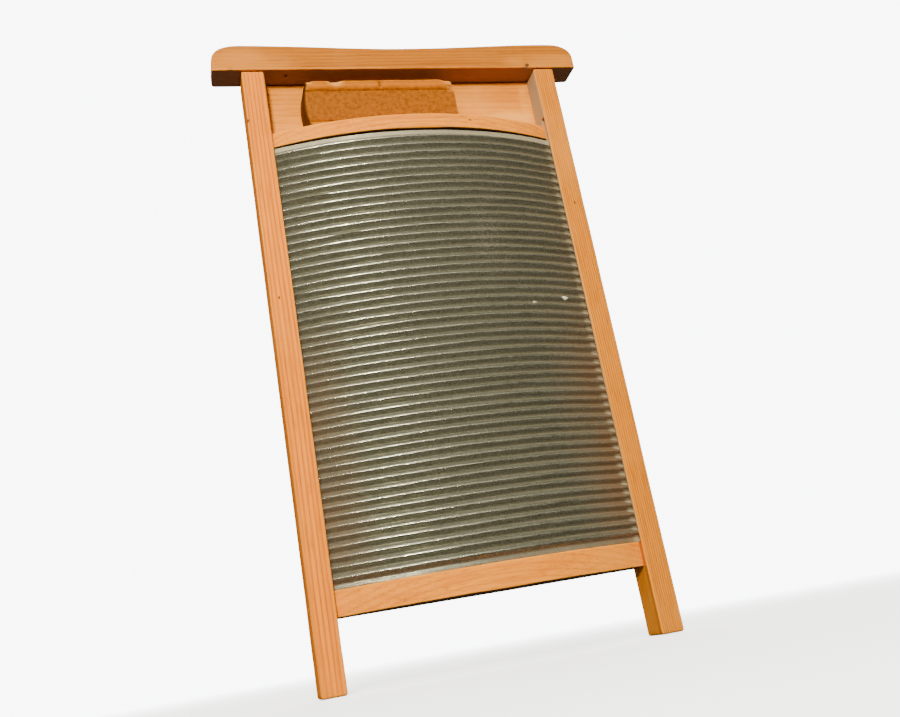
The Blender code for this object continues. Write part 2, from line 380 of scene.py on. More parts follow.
def carve(obj: bpy.types.Object, cutter: Shape, operation: str) -> None:
    """Cut a shape from an object's mesh, or join it, and keep the result as the mesh.

    Args:
        obj: the object.
        cutter: the shape to cut or join.
        operation: DIFFERENCE or UNION.
    """
    tool = add_object("tool", cutter.mesh("tool"))
    boolean = obj.modifiers.new("carve", "BOOLEAN")
    boolean.operation = operation
    boolean.solver = "EXACT"
    boolean.object = tool
    evaluated = obj.evaluated_get(bpy.context.evaluated_depsgraph_get())
    result = bpy.data.meshes.new_from_object(evaluated)
    obj.modifiers.clear()
    old = obj.data
    obj.data = result
    bpy.data.objects.remove(tool, do_unlink=True)
    bpy.data.meshes.remove(old)
    result.name = obj.name


# ---------------------------------------------------------------- shader graphs


def shade(colour: Colour, factor: float) -> Colour:
    """Return a colour made darker or lighter, held at 1."""
    return tuple(min(1.0, value * factor) for value in colour)


def _math(operation: str, swapped: bool = False) -> Callable[..., "Socket"]:
    """Return a method of a socket that adds one Math node and returns its value.

    Args:
        operation: the node's operation.
        swapped: whether the other value comes first.

    Returns:
        The method.
    """

    def method(self: "Socket", other: Value = 0.0) -> "Socket":
        """Add the node, with this socket first unless the two are swapped."""
        first, second = (other, self) if swapped else (self, other)
        return self.graph.node("ShaderNodeMath", {"operation": operation}, {0: first, 1: second})

    return method


class Socket:
    """An output socket on which Python's operators add Math nodes."""

    __add__ = __radd__ = _math("ADD")
    __mul__ = __rmul__ = _math("MULTIPLY")
    __sub__ = _math("SUBTRACT")
    __rsub__ = _math("SUBTRACT", swapped=True)
    __pow__ = _math("POWER")
    sine = _math("SINE")
    root = _math("SQRT")

    def __init__(self, graph: "Graph", socket: bpy.types.NodeSocket) -> None:
        """Wrap one output of the graph."""
        self.graph = graph
        self.socket = socket

    def ease(self, low: float, high: float) -> "Socket":
        """Return 0 below low, 1 above high and a smooth step between them."""
        settings = {"interpolation_type": "SMOOTHSTEP"}
        return self.graph.node("ShaderNodeMapRange", settings, {"Value": self, 1: low, 2: high})


class Graph:
    """The node graph of one material."""

    def __init__(self, name: str) -> None:
        """Start a material with an empty Principled shader.

        Args:
            name: the material's name.
        """
        self.material = bpy.data.materials.new(name)
        self.material.use_nodes = True
        self.tree = self.material.node_tree
        self.shader = self.tree.nodes["Principled BSDF"]

    @classmethod
    def of_world(cls, world: bpy.types.World) -> "Graph":
        """Return the graph of a world, whose shader is its Background.

        Args:
            world: a world with nodes.

        Returns:
            Its graph.
        """
        graph = cls.__new__(cls)
        graph.tree = world.node_tree
        graph.shader = graph.tree.nodes["Background"]
        return graph

    def node(self, kind: str, settings: Dict[str, Any], sockets: Dict[Any, Any], out: Any = 0) -> Socket:
        """Add any node.

        Args:
            kind: the node's type name.
            settings: its properties, set first.
            sockets: values or links of its inputs, by name, identifier or number.
            out: the output wanted, by name, identifier or number.

        Returns:
            The output, wrapped.
        """
        node = self.tree.nodes.new(kind)
        for key, value in settings.items():
            setattr(node, key, value)
        for key, value in sockets.items():
            self._feed(self._find(node.inputs, key), value)
        return Socket(self, self._find(node.outputs, out))

    @staticmethod
    def _find(sockets: Any, key: Any) -> bpy.types.NodeSocket:
        """Return a socket by number, identifier or name.

        Args:
            sockets: a node's inputs or outputs.
            key: the number, identifier or name.

        Returns:
            The socket.
        """
        if isinstance(key, int):
            return sockets[key]
        for socket in sockets:
            if socket.identifier == key:
                return socket
        return sockets[key]

    def _feed(self, target: bpy.types.NodeSocket, value: Any) -> None:
        """Link a wrapped socket to an input, or set the input's own value.

        Args:
            target: the input.
            value: a wrapped socket, a number, a vector or a colour.
        """
        if isinstance(value, Socket):
            self.tree.links.new(value.socket, target)
        elif isinstance(value, tuple) and len(value) == 3 and target.type == "RGBA":
            target.default_value = (*value, 1.0)
        else:
            target.default_value = value

    def set(self, **sockets: Any) -> None:
        """Set or link inputs of the Principled shader, named with _ for a space."""
        for key, value in sockets.items():
            self._feed(self.shader.inputs[key.replace("_", " ")], value)

    def coords(self) -> Socket:
        """Return the Object coordinates."""
        return self.node("ShaderNodeTexCoord", {}, {}, "Object")

    def split(self, vector: Socket) -> List[Socket]:
        """Return the three parts of a vector.

        Args:
            vector: the vector.

        Returns:
            Its x, y and z.
        """
        node = self.tree.nodes.new("ShaderNodeSeparateXYZ")
        self._feed(node.inputs[0], vector)
        return [Socket(self, output) for output in node.outputs]

    def scaled(self, vector: Socket, scale: Sequence[float],
               shift: Sequence[float] = (0, 0, 0)) -> Socket:
        """Return a vector stretched and shifted by a Mapping node."""
        sockets = {"Vector": vector, "Scale": tuple(scale), "Location": tuple(shift)}
        return self.node("ShaderNodeMapping", {}, sockets, "Vector")

    def noise(self, vector: Socket, scale: float, detail: float = 3.0, rough: float = 0.55) -> Socket:
        """Return a noise of about 0.25 to 0.75."""
        sockets = {"Vector": vector, "Scale": scale, "Detail": detail, "Roughness": rough}
        return self.node("ShaderNodeTexNoise", {}, sockets, "Fac")

    def attribute(self, name: str) -> Socket:
        """Return a value that the surface carries."""
        return self.node("ShaderNodeAttribute", {"attribute_name": name}, {}, "Fac")

    def spot(self, coords: Socket, centre: Sequence[float], size: Sequence[float]) -> Socket:
        """Return 1 inside an ellipsoid, falling softly to 0 outside it.

        Args:
            coords: the coordinates.
            centre: the ellipsoid's centre.
            size: its half axes.

        Returns:
            The value.
        """
        shift = [-c / s for c, s in zip(centre, size)]
        x, y, z = self.split(self.scaled(coords, [1 / s for s in size], shift))
        return 1 - (x * x + y * y + z * z).root().ease(0.5, 1.15)

    def mix(self, factor: Value, first: Any, second: Any) -> Socket:
        """Return a mix of two colours."""
        sockets = {"Factor_Float": factor, "A_Color": first, "B_Color": second}
        return self.node("ShaderNodeMix", {"data_type": "RGBA"}, sockets, "Result_Color")

    def bump(self, height: Socket, strength: float, distance: float) -> Socket:
        """Return a normal bent by a height."""
        sockets = {"Height": height, "Strength": strength, "Distance": distance}
        return self.node("ShaderNodeBump", {}, sockets, "Normal")


# ---------------------------------------------------------------- finishes


@dataclass(frozen=True)
class WoodFinish:
    """Bare conifer wood, sawn from a round log, so that its rings show on every face.

    The rings are a sine of the distance from the log's centre line, bent by a slow noise. A
    power of it makes thin dark late wood between wide pale early wood.
    """

    name: str
    axis: Axis
    pith: Tuple[float, float]
    early: Colour
    late: Colour
    fade: Colour
    ring_spacing: float = 0.0035
    ring_weight: float = 0.55
    fade_weight: float = 0.35
    wear_and_highlight_weight: float = 0.3
    weather: Colour = (0.42, 0.325, 0.185)
    # painted shade: the colour that undersides and gaps are darkened to, where shade falls
    painted_shade: Colour = (0.27, 0.150, 0.085)
    knot: Colour = (0.035, 0.022, 0.014)
    stains: Tuple[Mark, ...] = ()
    bleached: Tuple[Mark, ...] = ()
    seed: float = 0.0

    def material(self) -> bpy.types.Material:
        """Return the material.

        Returns:
            The material.
        """
        graph = Graph(self.name)
        coords = graph.coords()
        parts = graph.split(coords)
        main, first, second = self.axis.value
        stretch = [1.0, 1.0, 1.0]
        stretch[main] = 0.07
        shift = (self.seed, self.seed * 1.7, self.seed * 0.3)
        slow = graph.scaled(coords, stretch, shift)
        bend = graph.noise(slow, 14.0, 2.0) - 0.5
        a, b = parts[first] - self.pith[0], parts[second] - self.pith[1]
        distance = (a * a + b * b).root() + bend * (self.ring_spacing * 4.5)
        wave = (distance * (2 * math.pi / self.ring_spacing)).sine() * 0.5 + 0.5
        rings = wave ** 2.5
        fine = [900.0, 900.0, 900.0]
        fine[main] = 28.0
        fibres = graph.noise(graph.scaled(coords, fine, shift), 1.0, 4.0, 0.75)
        streaks = graph.noise(graph.scaled(coords, [v * 0.16 for v in fine], shift), 1.0, 3.0)
        blotch = graph.noise(graph.scaled(coords, (1, 1, 1), shift), 16.0, 3.0)
        tone = graph.mix(rings * self.ring_weight, self.early, self.late)
        tone = graph.mix(streaks.ease(0.42, 0.68) * 0.4, tone, self.late)
        tone = graph.mix(fibres.ease(0.48, 0.7) * 0.55, tone, shade(self.late, 0.5))
        tone = graph.mix(blotch.ease(0.45, 0.72) * self.fade_weight, tone, self.fade)
        height = fibres * 0.6 + rings * 0.5 + streaks * 0.5
        graph.set(
            Base_Color=self._aged(graph, coords, tone, fibres, streaks, blotch),
            Roughness=0.55 + fibres * 0.2,
            Specular_IOR_Level=0.05,
            Normal=graph.bump(height, 0.45, 0.0004),
        )
        return graph.material

    def _aged(self, graph: Graph, coords: Socket, tone: Socket, fibres: Socket, streaks: Socket,
              blotch: Socket) -> Socket:
        """Return the wood's colour bleached, weathered, worn, stained, with painted highlight and shade.

        Args:
            graph: the material's graph.
            coords: the Object coordinates.
            tone: the fresh wood's colour.
            fibres: the fine grain.
            streaks: the coarse grain.
            blotch: the slow cloudiness.

        Returns:
            The aged colour.
        """
        for centre, size in self.bleached:
            patch = graph.spot(coords, centre, size) * (blotch + streaks * 0.5).ease(0.5, 0.85)
            tone = graph.mix(patch * 0.5, tone, shade(self.fade, 1.3))
        grey = graph.attribute("weather") * (fibres * 0.7 + blotch).ease(0.45, 0.95)
        tone = graph.mix(graph.attribute("weather") * 0.75 + grey * 0.25, tone, self.weather)
        tone = graph.mix(grey * 0.35, tone, shade(self.weather, 0.55))
        # Lighter arrises: wear, and on the rail's lower front arris a painted highlight.
        wear_and_highlight = graph.attribute("arris") * fibres.ease(0.3, 0.6)
        tone = graph.mix(wear_and_highlight * self.wear_and_highlight_weight, tone, shade(self.fade, 1.35))
        # Painted shade: the boxed undersides and gaps darkened, where shade falls.
        tone = graph.mix(graph.attribute("painted_shade") * (0.8 + fibres * 0.35), tone, self.painted_shade)
        rust = graph.attribute("stain") * (0.6 + fibres * 0.8)
        for centre, size in self.stains:
            rust = rust + graph.spot(coords, centre, size) * (0.5 + fibres * 0.7)
        return graph.mix(rust.ease(0.15, 1.0) * 0.9, tone, self.knot)


@dataclass(frozen=True)
class ZincFinish:
    """Old rolled zinc: bare and polished on the crests, dull beside them, scale in the valleys."""

    bare: Colour = (0.40, 0.390, 0.290)
    dull: Colour = (0.124, 0.125, 0.090)
    scale: Colour = (0.215, 0.175, 0.105)
    rust: Colour = (0.180, 0.095, 0.040)
    pale: Colour = (0.85, 0.80, 0.64)
    # Pale colour of lime on the top band and of painted light in the valleys at the right edge.
    lime_and_painted_light: Colour = (0.42, 0.35, 0.22)

    def material(self) -> bpy.types.Material:
        """Return the material.

        Returns:
            The material.
        """
        graph = Graph("zinc")
        coords = graph.coords()
        crest = graph.attribute("crest")
        brushed = graph.noise(graph.scaled(coords, (22, 22, 1500)), 1.0, 4.0, 0.65)
        broken = graph.noise(graph.scaled(coords, (130, 130, 420)), 1.0, 5.0, 0.7)
        cloud = graph.noise(coords, 17.0, 4.0, 0.6)
        speck = graph.noise(coords, 700.0, 3.0, 0.6)
        patchy = graph.noise(graph.scaled(coords, (38, 38, 140)), 1.0, 3.0, 0.6)
        turn = crest * 2 - 1
        polish = crest * 0.30 + turn * turn * 0.40
        film = (broken * 1.1 + cloud * 0.5 + patchy * 0.9 - polish).ease(0.35, 1.2)
        tone = graph.mix(film * 0.85, self.bare, self.dull)
        tone = graph.mix(brushed.ease(0.4, 0.7) * 0.35, tone, shade(self.dull, 0.5))
        grit = graph.noise(graph.scaled(coords, (1.0, 1.0, 1.6)), 850.0, 2.0, 0.6)
        tone = graph.mix(grit.ease(0.50, 0.66) * 0.5, tone, shade(self.dull, 0.35))
        tone = graph.mix((1 - grit).ease(0.54, 0.68) * 0.45, tone, self.bare)
        crust = graph.attribute("scale") * (broken + 0.25).ease(0.35, 0.75)
        tone = graph.mix(crust, tone, self.scale)
        brown = graph.attribute("stain") * (cloud + broken * 0.6).ease(0.48, 0.9)
        tone = graph.mix(brown, tone, self.rust)
        fleck = (graph.attribute("fleck") + speck * 0.4 - 0.2).ease(0.25, 0.5)
        tone = graph.mix(fleck, tone, self.pale)
        # Lime on the top band; at the right edge, painted light where the key lights the valleys.
        lime_and_painted_light = graph.attribute("lime_and_painted_light") * (broken + 0.3).ease(0.4, 0.7)
        tone = graph.mix(lime_and_painted_light, tone, self.lime_and_painted_light)
        glint = graph.attribute("glint") * graph.noise(coords, 1300.0, 2.0, 0.7).ease(0.60, 0.68)
        tone = graph.mix(glint, tone, self.pale)
        height = brushed * 0.5 + speck * 0.5 + broken * 0.6
        covered = (1 - film * 0.35) * (1 - crust * 0.8) * (1 - brown * 0.7)
        graph.set(
            Base_Color=tone,
            Metallic=covered * (1 - fleck) * (1 - lime_and_painted_light * 0.8),
            Roughness=0.17 + film * 0.32 + crust * 0.25 + fleck * 0.3 + lime_and_painted_light * 0.25,
            Normal=graph.bump(height, 0.9, 0.00032),
        )
        return graph.material


@dataclass(frozen=True)
class SoapFinish:
    """Amber household soap, a little translucent, paler where it is chipped, with painted highlight and
    shade.
    """

    body: Colour = (0.40, 0.120, 0.001)
    deep: Colour = (0.20, 0.052, 0.001)
    # Colour of the painted highlight on the beads.
    raised: Colour = (0.58, 0.172, 0.001)
    chip: Colour = (0.86, 0.38, 0.08)

    def material(self) -> bpy.types.Material:
        """Return the material.

        Returns:
            The material.
        """
        graph = Graph("soap")
        coords = graph.coords()
        cloud = graph.noise(coords, 230.0, 5.0, 0.7)
        grain = graph.noise(coords, 900.0, 3.0, 0.6)
        tone = graph.mix(cloud.ease(0.38, 0.66), self.body, self.deep)
        tone = graph.mix(graph.attribute("hollow") * 0.35, tone, self.deep)
        # Painted highlight: the beads lighter in proportion to their rise, as where they catch the light.
        tone = graph.mix(graph.attribute("bead") * 0.75, tone, self.raised)
        # Painted shade: the left end face much darker, partly the soap's deeper colour.
        tone = graph.mix(graph.attribute("end") * 0.95, tone, shade(self.deep, 0.24))
        tone = graph.mix(graph.attribute("chip") * grain.ease(0.25, 0.6), tone, self.chip)
        height = cloud * 0.6 + grain * 0.3
        graph.set(
            Base_Color=tone,
            Roughness=0.42 + cloud * 0.25,
            Specular_IOR_Level=0.06,
            Subsurface_Weight=0.04,
            Subsurface_Radius=(0.006, 0.003, 0.001),
            Subsurface_Scale=1.0,
            Normal=graph.bump(height, 0.7, 0.0010),
        )
        return graph.material


@dataclass(frozen=True)
class NailFinish:
    """Dark iron with a little rust."""

    iron: Colour = (0.035, 0.030, 0.027)
    rust: Colour = (0.16, 0.065, 0.028)

    def material(self) -> bpy.types.Material:
        """Return the material.

        Returns:
            The material.
        """
        graph = Graph("nail iron")
        cloud = graph.noise(graph.coords(), 700.0, 3.0, 0.6)
        rusty = cloud.ease(0.45, 0.62)
        graph.set(
            Base_Color=graph.mix(rusty, self.iron, self.rust),
            Metallic=0.75 - rusty * 0.55,
            Roughness=0.45 + cloud * 0.35,
            Normal=graph.bump(cloud, 0.4, 0.0002),
        )
        return graph.material


@dataclass(frozen=True)
class FloorFinish:
    """A plain pale floor that fades with distance into the pale surroundings.

    To anything but the camera it is dark, so that it throws little light up at the board.
    """

    colour: Colour = (0.80, 0.80, 0.79)
    bounce: Colour = (0.10, 0.09, 0.08)
    haze: Colour = (0.96, 0.98, 1.0)
    haze_strength: float = 8.8
    haze_from: float = 0.2
    haze_to: float = 2.6

    def material(self) -> bpy.types.Material:
        """Return the material.

        Returns:
            The material.
        """
        graph = Graph("pale floor")
        coords = graph.coords()
        seen = graph.node("ShaderNodeLightPath", {}, {}, "Is Camera Ray")
        x, y, _ = graph.split(coords)
        far = (x * x + y * y).root().ease(self.haze_from, self.haze_to)
        haze = graph.mix(seen * (0.25 + far * 0.75), (0.0, 0.0, 0.0), self.haze)
        graph.set(
            Base_Color=graph.mix(seen * (1 - far), self.bounce, self.colour),
            Roughness=0.9,
            Specular_IOR_Level=0.1,
            Emission_Color=haze,
            Emission_Strength=self.haze_strength,
        )
        return graph.material


# ---------------------------------------------------------------- pieces


@dataclass
class Nails:
    """The nails and tacks: where the frame has them, their holes and their own shapes."""

    head_radius: float = 0.0018
    shank_radius: float = 0.0008
    head_height: float = 0.0008
    clearance: float = 0.0003
    sunk: float = 0.0003
    stain_reach: float = 0.0045
    steps: int = 16

    def places(self) -> Dict[str, Tuple[Vector, Vector, float]]:
        """Return each nail's head centre, driving direction and length, read from the frame.

        Returns:
            For each nail's node, its head's centre, direction and length.
        """
        found = {}
        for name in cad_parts:
            if not any(word in name for word in NAIL_WORDS):
                continue
            low, high = Vector(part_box(name)[0]), Vector(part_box(name)[1])
            size, centre = high - low, (low + high) / 2
            main = max(range(3), key=lambda k: size[k])
            direction = Vector((0.0, 0.0, 0.0))
            direction[main] = -1.0 if main == 1 or centre.x > 0 else 1.0
            head = centre - direction * size[main] / 2
            found[name] = (head, direction, size[main])
        return found

    @staticmethod
    def _frame_of(head: Vector, direction: Vector) -> Matrix:
        """Return the matrix that puts local +Z against the driving direction at the head."""
        turn = Vector((0.0, 0.0, 1.0)).rotation_difference(-direction).to_matrix().to_4x4()
        return Matrix.Translation(head) @ turn

    def hole(self, head: Vector, direction: Vector, length: float) -> Shape:
        """Return the cutter of one nail's clearance hole.

        Args:
            head: the centre of the head's face.
            direction: the way it is driven.
            length: its whole length.

        Returns:
            The cutter.
        """
        wide = self.head_radius + self.clearance
        slim = self.shank_radius + self.clearance
        under = -self.head_height - self.clearance
        profile = [(slim, -length), (slim, under), (wide, under), (wide, self.sunk + 0.001)]
        return turned(profile, self.steps, self._frame_of(head, direction))

    def body(self, place: Vector, direction: Vector, length: float) -> Shape:
        """Return one nail: a point, a shank and a slightly domed, hammered head.

        Args:
            place: the centre of the head's face.
            direction: the way it is driven.
            length: its whole length.

        Returns:
            The nail.
        """
        head, shank, tall = self.head_radius, self.shank_radius, self.head_height
        profile = [(0.0001, -length), (shank, -length + 2 * shank), (shank, -tall), (head * 0.96, -tall)]
        profile += [(head, -tall * 0.5), (head * 0.86, -0.00012), (head * 0.45, -0.00002)]
        return turned(profile, self.steps, self._frame_of(place, direction))

    def holes_through(self, low: Vector, high: Vector) -> Optional[Shape]:
        """Return the joined holes of all nails that reach into a box.

        Args:
            low: the box's lowest corner.
            high: its highest corner.

        Returns:
            The holes as one shape, or None when no nail reaches in.
        """
        joined = None
        for head, direction, length in self.places().values():
            tip = head + direction * length
            if all(min(head[k], tip[k]) < high[k] and max(head[k], tip[k]) > low[k] for k in range(3)):
                hole = self.hole(head, direction, length)
                joined = hole if joined is None else joined.joined(hole)
        return joined

    def stain(self, points: Array) -> Array:
        """Return 1 at a nail's head, falling to 0 at the stain's reach.

        Args:
            points: points of shape (count, 3).

        Returns:
            One value for each point.
        """
        darkest = np.zeros(len(points))
        for head, _, _ in self.places().values():
            distance = np.linalg.norm(points - np.array(head), axis=1)
            darkest = np.maximum(darkest, np.clip(1 - distance / self.stain_reach, 0, 1) ** 1.5)
        return darkest


def lying_in(points: Array, boxes: Sequence[Box], blend: float = 0.0008) -> Array:
    """Return 1 for each point inside any box, with a linear blend across its sides.

    Args:
        points: points of shape (count, 3).
        boxes: boxes, each by two corners.
        blend: the width of the blend.

    Returns:
        One value for each point.
    """
    mark = np.zeros(len(points))
    for low, high in boxes:
        inside = np.minimum(points - np.array(low), np.array(high) - points).min(axis=1)
        mark = np.maximum(mark, np.clip(inside / blend + 0.5, 0, 1))
    return mark


def add_piece(name: str, shape: Shape, node: str, body: str) -> bpy.types.Object:
    """Add a piece that stands for a node of the frame, and let it ride on its body.

    Args:
        name: the piece's name.
        shape: its surface.
        node: the frame's node.
        body: the body that it rides on.

    Returns:
        The piece.
    """
    piece = add_object(name, shape.mesh(name))
    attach(piece, body)
    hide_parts(node)
    return piece


def dress(piece: bpy.types.Object, material: bpy.types.Material, sharp_degrees: float = 38.0) -> None:
    """Give a piece its material and smooth shading with sharp edges past an angle.

    Args:
        piece: the piece.
        material: its only material.
        sharp_degrees: the angle past which an edge stays sharp.
    """
    piece.data.materials.clear()
    piece.data.materials.append(material)
    piece.data.shade_smooth()
    piece.data.set_sharp_from_angle(angle=math.radians(sharp_degrees))
    LOG.info("%s: %d faces", piece.name, len(piece.data.polygons))


@dataclass
class Joinery:
    """What all wooden pieces share: cutting holes, staining round nails, and adding them."""

    nails: Nails

    def make(self, node: str, shape: Shape, slot: str, finish: WoodFinish, cuts: Sequence[Shape] = (),
             joins: Sequence[Shape] = (), weathered: Sequence[Box] = (),
             painted_shade_boxes: Sequence[Box] = ()) -> bpy.types.Object:
        """Add one wooden piece.

        Args:
            node: the frame's node that it stands for.
            shape: its surface.
            slot: the record's material slot; not used.
            finish: its wood.
            cuts: shapes to cut away, besides the nail holes.
            joins: shapes to join on first.
            weathered: boxes, each by two corners, whose surface is weathered grey.
            painted_shade_boxes: boxes whose surface is darkened as painted shade.

        Returns:
            The finished piece.
        """
        piece = add_piece("fine_" + node, shape, node, BOARD_BODY)
        for extra in joins:
            carve(piece, extra, "UNION")
        low, high = shape.verts.min(0), shape.verts.max(0)
        holes = self.nails.holes_through(Vector(low), Vector(high))
        for extra in list(cuts) + ([holes] if holes else []):
            carve(piece, extra, "DIFFERENCE")
        count = len(piece.data.vertices)
        points = np.empty(count * 3, np.float32)
        piece.data.vertices.foreach_get("co", points)
        points = points.reshape(-1, 3)
        # Mark the weathered faces, and the undersides and gaps that get painted shade.
        boxed = {"weather": lying_in(points, weathered), "painted_shade": lying_in(points, painted_shade_boxes)}
        carry(piece.data, {"stain": self.nails.stain(points), **boxed})
        dress(piece, finish.material())
        return piece


def tenon_box(leg: Any, clearance: float, bottom: float, top: float) -> Shape:
    """Return the box of a leg's stub tenon, or of its mortise when there is a clearance.

    Args:
        leg: the leg's box, by two corners.
        clearance: the room on each side.
        bottom: the lower end.
        top: the upper end.

    Returns:
        The box.
    """
    half_width, half_depth = (size / 2 + clearance for size in TENON[:2])
    centre_x = (leg[0][0] + leg[1][0]) / 2
    centre_y = leg[0][1] + TENON_PLACE * (leg[1][1] - leg[0][1])
    low = (centre_x - half_width, centre_y - half_depth, bottom)
    return box_shape(low, (centre_x + half_width, centre_y + half_depth, top))


@dataclass
class Legs:
    """The two grooved and rebated legs."""

    joinery: Joinery
    arris: float = 0.0014
    top_round: float = 0.0034
    foot_round: float = 0.0022
    shoulder_gap: float = 0.0001
    groove_depth: float = 0.0042
    groove_front: float = 0.0020
    groove_width: float = 0.0072
    groove_above_ledge: float = 0.009
    rebate_width: float = 0.008
    board_gap: float = 0.0003
    tenon_root: float = 0.004

    def build(self) -> None:
        """Build both legs."""
        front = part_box("left_leg")[0][1]
        knots = (
            ((-0.160, front, 0.5196), (0.0022, 0.0022, 0.0026)),
            ((-0.152, front, 0.3400), (0.0012, 0.0012, 0.0020)),
            ((0.150, front, 0.4180), (0.0012, 0.0012, 0.0022)),
        )
        left_tones = (0.98, 0.275, 0.006), (0.56, 0.125, 0.003), (0.95, 0.32, 0.020)
        right_tones = (0.74, 0.238, 0.009), (0.38, 0.100, 0.003), (0.78, 0.29, 0.030)
        left = WoodFinish("left leg wood", Axis.Z, (-0.205, 0.045), *left_tones,
                          ring_spacing=0.0030, ring_weight=0.8, stains=knots[:2], seed=3.1)
        right = WoodFinish("right leg wood", Axis.Z, (0.040, 0.020), *right_tones,
                           ring_spacing=0.0021, ring_weight=0.8, stains=knots[2:], seed=8.4)
        self._build_one("left", -1, left)
        self._build_one("right", 1, right)

    def _build_one(self, side: str, sign: int, finish: WoodFinish) -> None:
        """Build one leg, sign giving its side.

        Args:
            side: left or right.
            sign: -1 on the left, 1 on the right.
            finish: the leg's wood.
        """
        node = side + "_leg"
        low, high = (Vector(corner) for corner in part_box(node))
        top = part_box("top_rail")[0][2] - self.shoulder_gap
        sides = constant(low.x, low.y), constant(high.x, high.y)
        rounds = (self.foot_round, self.top_round)
        shape = Bar(Axis.Z, low.z, top, *sides, self.arris, rounds, step=0.0035, flats=(9, 7)).shape()
        inside = shape.verts[:, 2] > low.z + 0.03
        shoulder = shape.verts[:, 2] > top - FLAT
        shape.verts[inside] = wobble(shape.verts[inside], 0.00012, 0.07, 30 + sign)
        shape.verts[shoulder, 2] = top
        inner_x = high.x if sign < 0 else low.x
        cuts = [self._groove(inner_x, sign, low.y), self._rebate(inner_x, sign, high.y, top)]
        tenon = tenon_box(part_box(node), 0.0, top - self.tenon_root, top + self.shoulder_gap + TENON[2])
        xs = sorted((inner_x - sign * 0.002, inner_x + sign * 0.0006))
        inner = ((xs[0], low.y + 0.0008, 0.09), (xs[1], high.y + 0.01, top + 0.01))
        self.joinery.make(node, shape, "leg_wood", finish, cuts, [tenon], weathered=[inner])

    def _groove(self, inner_x: float, sign: int, front: float) -> Shape:
        """Return the cutter of the groove that holds the sheet's edge.

        Args:
            inner_x: the leg's inner face.
            sign: -1 on the left, 1 on the right.
            front: the leg's front face.

        Returns:
            The cutter.
        """
        xs = sorted((inner_x - sign * 0.001, inner_x + sign * self.groove_depth))
        ledge_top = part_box("soap_ledge")[1][2]
        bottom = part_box("lower_crosspiece")[1][2]
        low = (xs[0], front + self.groove_front, bottom)
        high = (xs[1], front + self.groove_front + self.groove_width, ledge_top + self.groove_above_ledge)
        return box_shape(low, high)

    def _rebate(self, inner_x: float, sign: int, back: float, top: float) -> Shape:
        """Return the cutter of the rebate that the back boards lie in.

        Args:
            inner_x: the leg's inner face.
            sign: -1 on the left, 1 on the right.
            back: the leg's back face.
            top: the leg's shoulder.

        Returns:
            The cutter.
        """
        xs = sorted((inner_x - sign * 0.001, inner_x + sign * self.rebate_width))
        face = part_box("tray_back")[0][1] - self.board_gap
        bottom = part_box("lower_crosspiece")[0][2]
        return box_shape((xs[0], face, bottom), (xs[1], back + 0.001, top + 0.001))


